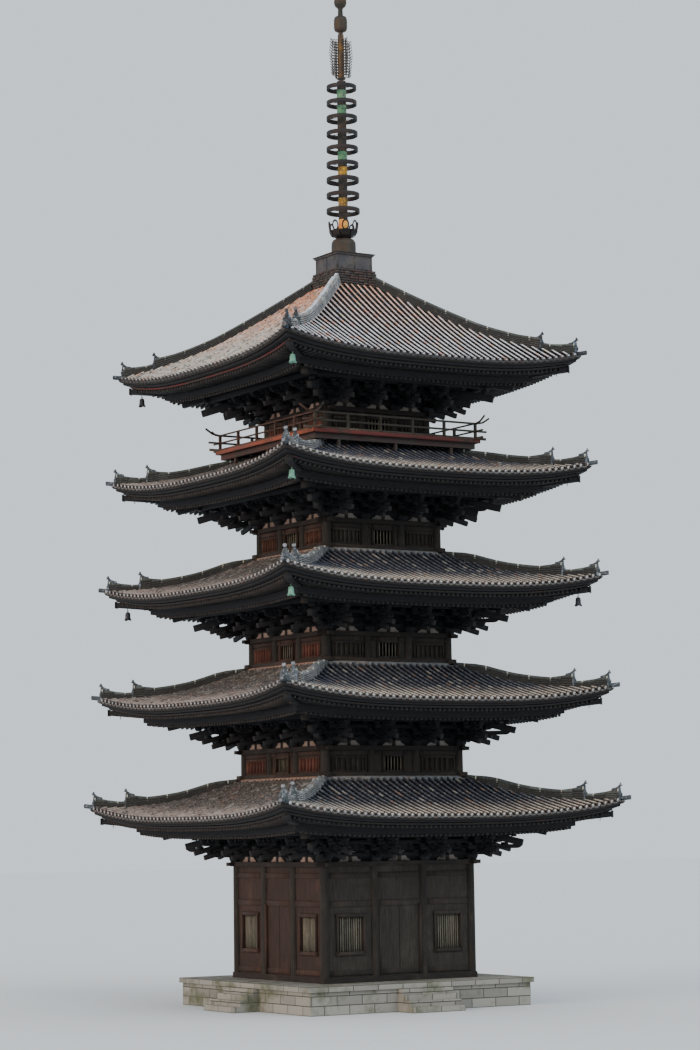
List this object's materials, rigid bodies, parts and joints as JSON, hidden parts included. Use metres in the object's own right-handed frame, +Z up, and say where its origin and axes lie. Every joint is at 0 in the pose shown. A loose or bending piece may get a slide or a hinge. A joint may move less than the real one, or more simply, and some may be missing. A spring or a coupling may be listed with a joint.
{
  "type": "1:2 scale model of a five-storey pagoda",
  "caption": "Tall timber pagoda with curling tiled roofs, bracketed eaves, wind bells that swing, a balcony round the top storey and a ringed finial; a half-size scale model.",
  "frame": {"origin": "centre of the footprint on the ground, at the bottom of the podium", "axes": "+Z up along the central pillar, -Y out of the front side, +X to the right seen from the front"},
  "size_m": [8.7, 8.7, 23],
  "materials": {
    "stone": "weathered",
    "timber": "dark, weathered",
    "weathered_boards": "weathered, red-brown",
    "tile": "matt fired clay, rust and lichen specks",
    "dark_bronze": "dark patina with green and ochre patches",
    "green_bronze": "verdigris"
  },
  "bodies": {
    "tower": {"podium": "stone", "central_pillar": "timber", "right_door": "weathered_boards", "back_door": "weathered_boards", "left_door": "weathered_boards", "front_door": "weathered_boards", "storey_1_frame": "timber", "storey_1_walls": "weathered_boards", "storey_1_brackets": "timber", "storey_1_eaves": "timber", "storey_1_roof": "tile", "storey_2_frame": "timber", "storey_2_walls": "weathered_boards", "storey_2_brackets": "timber", "storey_2_eaves": "timber", "storey_2_roof": "tile", "storey_3_frame": "timber", "storey_3_walls": "weathered_boards", "storey_3_brackets": "timber", "storey_3_eaves": "timber", "storey_3_roof": "tile", "storey_4_frame": "timber", "storey_4_walls": "weathered_boards", "storey_4_brackets": "timber", "storey_4_eaves": "timber", "storey_4_roof": "tile", "storey_5_frame": "timber", "storey_5_walls": "weathered_boards", "storey_5_brackets": "timber", "storey_5_eaves": "timber", "storey_5_roof": "tile", "balcony_deck": "weathered_boards", "balcony_railing": "timber", "finial_basin": "dark_bronze", "finial_bowl": "dark_bronze", "finial_lotus": "dark_bronze", "finial_rings": "dark_bronze", "finial_flame": "dark_bronze", "finial_jewels": "dark_bronze"},
    "bell_3_back_right_body": {"bell_3_back_right": "green_bronze"},
    "bell_3_back_left_body": {"bell_3_back_left": "green_bronze"},
    "bell_3_front_left_body": {"bell_3_front_left": "green_bronze"},
    "bell_3_front_right_body": {"bell_3_front_right": "green_bronze"},
    "bell_4_back_right_body": {"bell_4_back_right": "green_bronze"},
    "bell_4_front_left_body": {"bell_4_front_left": "green_bronze"},
    "bell_5_back_right_body": {"bell_5_back_right": "green_bronze"},
    "bell_5_back_left_body": {"bell_5_back_left": "green_bronze"},
    "bell_5_front_left_body": {"bell_5_front_left": "green_bronze"}
  },
  "joints": [
    {"name": "bell_3_back_right_swing", "type": "hinge", "parent": "tower", "child": "bell_3_back_right_body", "pos_m": [3.68141, 3.68141, 8.9175], "axis": [-0.7071, 0.7071, 0], "range_deg": [-20, 20]},
    {"name": "bell_3_back_left_swing", "type": "hinge", "parent": "tower", "child": "bell_3_back_left_body", "pos_m": [-3.68141, 3.68141, 8.9175], "axis": [-0.7071, -0.7071, 0], "range_deg": [-20, 20]},
    {"name": "bell_3_front_left_swing", "type": "hinge", "parent": "tower", "child": "bell_3_front_left_body", "pos_m": [-3.68141, -3.68141, 8.9175], "axis": [0.7071, -0.7071, 0], "range_deg": [-20, 20]},
    {"name": "bell_3_front_right_swing", "type": "hinge", "parent": "tower", "child": "bell_3_front_right_body", "pos_m": [3.68141, -3.68141, 8.9175], "axis": [0.7071, 0.7071, 0], "range_deg": [-20, 20]},
    {"name": "bell_4_back_right_swing", "type": "hinge", "parent": "tower", "child": "bell_4_back_right_body", "pos_m": [3.55041, 3.55041, 11.385], "axis": [-0.7071, 0.7071, 0], "range_deg": [-20, 20]},
    {"name": "bell_4_front_left_swing", "type": "hinge", "parent": "tower", "child": "bell_4_front_left_body", "pos_m": [-3.55041, -3.55041, 11.385], "axis": [0.7071, -0.7071, 0], "range_deg": [-20, 20]},
    {"name": "bell_5_back_right_swing", "type": "hinge", "parent": "tower", "child": "bell_5_back_right_body", "pos_m": [3.41941, 3.41941, 13.8525], "axis": [-0.7071, 0.7071, 0], "range_deg": [-20, 20]},
    {"name": "bell_5_back_left_swing", "type": "hinge", "parent": "tower", "child": "bell_5_back_left_body", "pos_m": [-3.41941, 3.41941, 13.8525], "axis": [-0.7071, -0.7071, 0], "range_deg": [-20, 20]},
    {"name": "bell_5_front_left_swing", "type": "hinge", "parent": "tower", "child": "bell_5_front_left_body", "pos_m": [-3.41941, -3.41941, 13.8525], "axis": [0.7071, -0.7071, 0], "range_deg": [-20, 20]}
  ]
}
